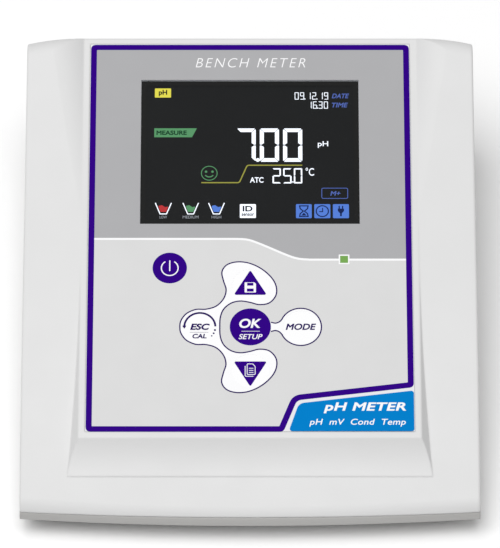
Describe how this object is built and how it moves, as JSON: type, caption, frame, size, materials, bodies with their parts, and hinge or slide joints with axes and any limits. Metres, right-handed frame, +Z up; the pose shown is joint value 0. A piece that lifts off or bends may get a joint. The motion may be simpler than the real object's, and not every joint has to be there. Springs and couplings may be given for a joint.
{
  "type": "ph meter",
  "caption": "Bench pH meter: a wedge-shaped satin case with a sloped printed panel, colour display, press keys and rear probe sockets.",
  "frame": {"origin": "centre of the overall footprint on the surface that the rubber feet stand on", "axes": "+X to the right of the panel, +Y towards the rear sockets, +Z up"},
  "size_m": [0.16, 0.19, 0.063],
  "materials": {
    "badge": "gloss printed label",
    "base_plastic": "fine satin texture",
    "black_plastic": "matt",
    "brass": "turned",
    "capacitor_sleeve": "sleeve",
    "case_plastic": "fine satin texture",
    "cell_steel": "bright",
    "chip": "matt epoxy",
    "circuit_board": "green solder mask",
    "diffuser": "milky",
    "foam": "soft foam",
    "green_light": "clear green",
    "key_violet": "satin printed film",
    "key_white": "satin printed film",
    "label": "satin",
    "lcd": "dark display glass",
    "led_body": "gloss",
    "nickel": "nickel plated",
    "overlay": "satin printed film",
    "plunger_plastic": "matt",
    "rear_plastic": "fine matt texture",
    "red_plastic": "gloss",
    "ribbon": "satin film",
    "ribbon_socket": "matt",
    "rubber": "matt",
    "screw_steel": "zinc plated",
    "switch_button": "matt",
    "tinned_steel": "tinned",
    "window": "clear, gloss"
  },
  "bodies": {
    "root": {"analog_chips": "chip", "backlight": "diffuser", "buzzer": "black_plastic", "capacitors": "capacitor_sleeve", "case_screws": "screw_steel", "coin_cell": "cell_steel", "coin_cell_holder": "black_plastic", "conductivity_insert": "black_plastic", "conductivity_socket": "nickel", "display_window": "window", "front_board": "circuit_board", "front_board_screws": "screw_steel", "info_badge": "badge", "lcd_frame": "black_plastic", "lcd_gasket": "foam", "lcd_glass": "lcd", "lower_case": "base_plastic", "main_board": "circuit_board", "main_board_screws": "screw_steel", "overlay_film": "overlay", "ph_socket": "nickel", "ph_socket_nut": "nickel", "power_socket": "black_plastic", "processor_chip": "chip", "rating_label": "label", "rear_panel": "rear_plastic", "rear_panel_screws": "screw_steel", "reference_socket": "red_plastic", "ribbon_cable": "ribbon", "ribbon_sockets": "ribbon_socket", "rubber_feet": "rubber", "shield_can": "tinned_steel", "status_led": "led_body", "status_light_pipe": "green_light", "switch_bodies": "black_plastic", "temperature_socket": "nickel", "threaded_inserts": "brass", "upper_case": "case_plastic", "usb_socket": "nickel"},
    "power_key": {"key_power": "key_violet", "plunger_power": "plunger_plastic", "switch_button_power": "switch_button"},
    "up_key": {"key_up": "key_white", "plunger_up": "plunger_plastic", "switch_button_up": "switch_button"},
    "down_key": {"key_down": "key_white", "plunger_down": "plunger_plastic", "switch_button_down": "switch_button"},
    "esc_key": {"key_esc": "key_white", "plunger_esc": "plunger_plastic", "switch_button_esc": "switch_button"},
    "ok_key": {"key_ok": "key_violet", "plunger_ok": "plunger_plastic", "switch_button_ok": "switch_button"},
    "mode_key": {"key_mode": "key_white", "plunger_mode": "plunger_plastic", "switch_button_mode": "switch_button"}
  },
  "joints": [
    {"name": "power_press", "type": "slide", "parent": "root", "child": "power_key", "axis": [0, 0.2079, -0.9781], "range_m": [0, 0.0003], "stiffness_N_per_m": 1500, "springref_m": -0.0004},
    {"name": "up_press", "type": "slide", "parent": "root", "child": "up_key", "axis": [0, 0.2079, -0.9781], "range_m": [0, 0.0003], "stiffness_N_per_m": 1500, "springref_m": -0.0004},
    {"name": "down_press", "type": "slide", "parent": "root", "child": "down_key", "axis": [0, 0.2079, -0.9781], "range_m": [0, 0.0003], "stiffness_N_per_m": 1500, "springref_m": -0.0004},
    {"name": "esc_press", "type": "slide", "parent": "root", "child": "esc_key", "axis": [0, 0.2079, -0.9781], "range_m": [0, 0.0003], "stiffness_N_per_m": 1500, "springref_m": -0.0004},
    {"name": "ok_press", "type": "slide", "parent": "root", "child": "ok_key", "axis": [0, 0.2079, -0.9781], "range_m": [0, 0.0003], "stiffness_N_per_m": 1500, "springref_m": -0.0004},
    {"name": "mode_press", "type": "slide", "parent": "root", "child": "mode_key", "axis": [0, 0.2079, -0.9781], "range_m": [0, 0.0003], "stiffness_N_per_m": 1500, "springref_m": -0.0004}
  ]
}
